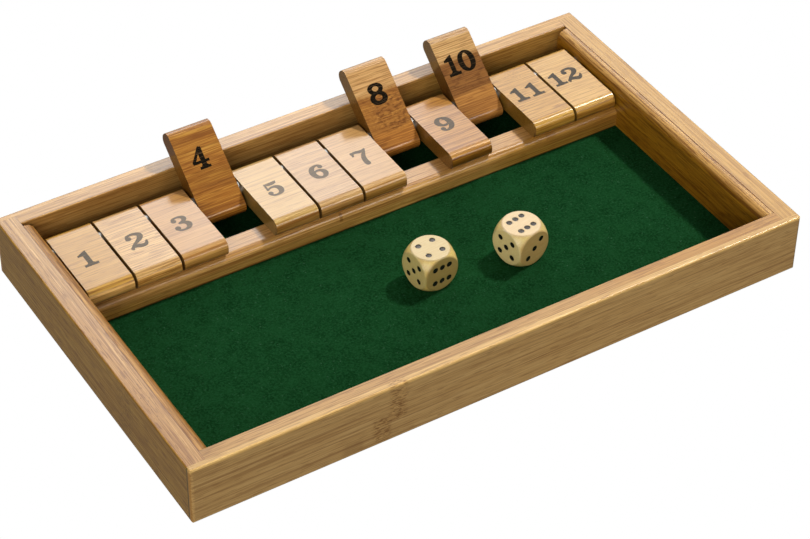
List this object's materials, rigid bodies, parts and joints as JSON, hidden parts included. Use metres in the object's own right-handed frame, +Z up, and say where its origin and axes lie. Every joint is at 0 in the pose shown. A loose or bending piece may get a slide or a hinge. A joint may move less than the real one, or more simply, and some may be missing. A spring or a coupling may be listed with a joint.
{
  "type": "shut the box game",
  "caption": "Bamboo shut the box game: a felted tray with a row of hinged number tiles on a rod and a pair of dice.",
  "frame": {"origin": "middle of the box on its underside", "axes": "+X along the row of tiles from tile 1 to tile 12, +Y from the player's side to the hinge side, +Z up"},
  "size_m": [0.34, 0.2039, 0.0493],
  "materials": {
    "rail_bamboo": "satin lacquered bamboo",
    "cheek_bamboo": "satin lacquered bamboo",
    "rest_bamboo": "satin lacquered bamboo",
    "tile_bamboo": "satin lacquered bamboo with printed black numbers",
    "base_bamboo": "plain bamboo board",
    "felt": "short dark green felt",
    "rod_steel": "drawn steel",
    "washer_steel": "bright steel",
    "die_wood": "pale wood with black pips"
  },
  "bodies": {
    "tray": {"front_rail": "rail_bamboo", "back_rail": "rail_bamboo", "left_rail": "rail_bamboo", "right_rail": "rail_bamboo", "base_board": "base_bamboo", "felt": "felt", "left_cheek": "cheek_bamboo", "right_cheek": "cheek_bamboo", "tile_rest": "rest_bamboo", "pivot_rod": "rod_steel", "spacer_washers": "washer_steel"},
    "tile_01": {"tile_01": "tile_bamboo"},
    "tile_02": {"tile_02": "tile_bamboo"},
    "tile_03": {"tile_03": "tile_bamboo"},
    "tile_04": {"tile_04": "tile_bamboo"},
    "tile_05": {"tile_05": "tile_bamboo"},
    "tile_06": {"tile_06": "tile_bamboo"},
    "tile_07": {"tile_07": "tile_bamboo"},
    "tile_08": {"tile_08": "tile_bamboo"},
    "tile_09": {"tile_09": "tile_bamboo"},
    "tile_10": {"tile_10": "tile_bamboo"},
    "tile_11": {"tile_11": "tile_bamboo"},
    "tile_12": {"tile_12": "tile_bamboo"},
    "die_1": {"die_1": "die_wood"},
    "die_2": {"die_2": "die_wood"}
  },
  "joints": [
    {"name": "tile_01_hinge", "type": "hinge", "parent": "tray", "child": "tile_01", "pos_m": [0, 0.0715, 0.0226], "axis": [-1, 0, 0], "range_deg": [0, 140.56]},
    {"name": "tile_02_hinge", "type": "hinge", "parent": "tray", "child": "tile_02", "pos_m": [0, 0.0715, 0.0226], "axis": [-1, 0, 0], "range_deg": [0, 140.56]},
    {"name": "tile_03_hinge", "type": "hinge", "parent": "tray", "child": "tile_03", "pos_m": [0, 0.0715, 0.0226], "axis": [-1, 0, 0], "range_deg": [0, 140.56]},
    {"name": "tile_04_hinge", "type": "hinge", "parent": "tray", "child": "tile_04", "pos_m": [0, 0.0715, 0.0226], "axis": [-1, 0, 0], "range_deg": [-140.56, 0]},
    {"name": "tile_05_hinge", "type": "hinge", "parent": "tray", "child": "tile_05", "pos_m": [0, 0.0715, 0.0226], "axis": [-1, 0, 0], "range_deg": [0, 140.56]},
    {"name": "tile_06_hinge", "type": "hinge", "parent": "tray", "child": "tile_06", "pos_m": [0, 0.0715, 0.0226], "axis": [-1, 0, 0], "range_deg": [0, 140.56]},
    {"name": "tile_07_hinge", "type": "hinge", "parent": "tray", "child": "tile_07", "pos_m": [0, 0.0715, 0.0226], "axis": [-1, 0, 0], "range_deg": [0, 140.56]},
    {"name": "tile_08_hinge", "type": "hinge", "parent": "tray", "child": "tile_08", "pos_m": [0, 0.0715, 0.0226], "axis": [-1, 0, 0], "range_deg": [-140.56, 0]},
    {"name": "tile_09_hinge", "type": "hinge", "parent": "tray", "child": "tile_09", "pos_m": [0, 0.0715, 0.0226], "axis": [-1, 0, 0], "range_deg": [0, 140.56]},
    {"name": "tile_10_hinge", "type": "hinge", "parent": "tray", "child": "tile_10", "pos_m": [0, 0.0715, 0.0226], "axis": [-1, 0, 0], "range_deg": [-140.56, 0]},
    {"name": "tile_11_hinge", "type": "hinge", "parent": "tray", "child": "tile_11", "pos_m": [0, 0.0715, 0.0226], "axis": [-1, 0, 0], "range_deg": [0, 140.56]},
    {"name": "tile_12_hinge", "type": "hinge", "parent": "tray", "child": "tile_12", "pos_m": [0, 0.0715, 0.0226], "axis": [-1, 0, 0], "range_deg": [0, 140.56]},
    {"name": "die_1_lift", "type": "slide", "parent": "tray", "child": "die_1", "axis": [0, 0, 1], "range_m": [0, 0.1]},
    {"name": "die_2_lift", "type": "slide", "parent": "tray", "child": "die_2", "axis": [0, 0, 1], "range_m": [0, 0.1]}
  ]
}
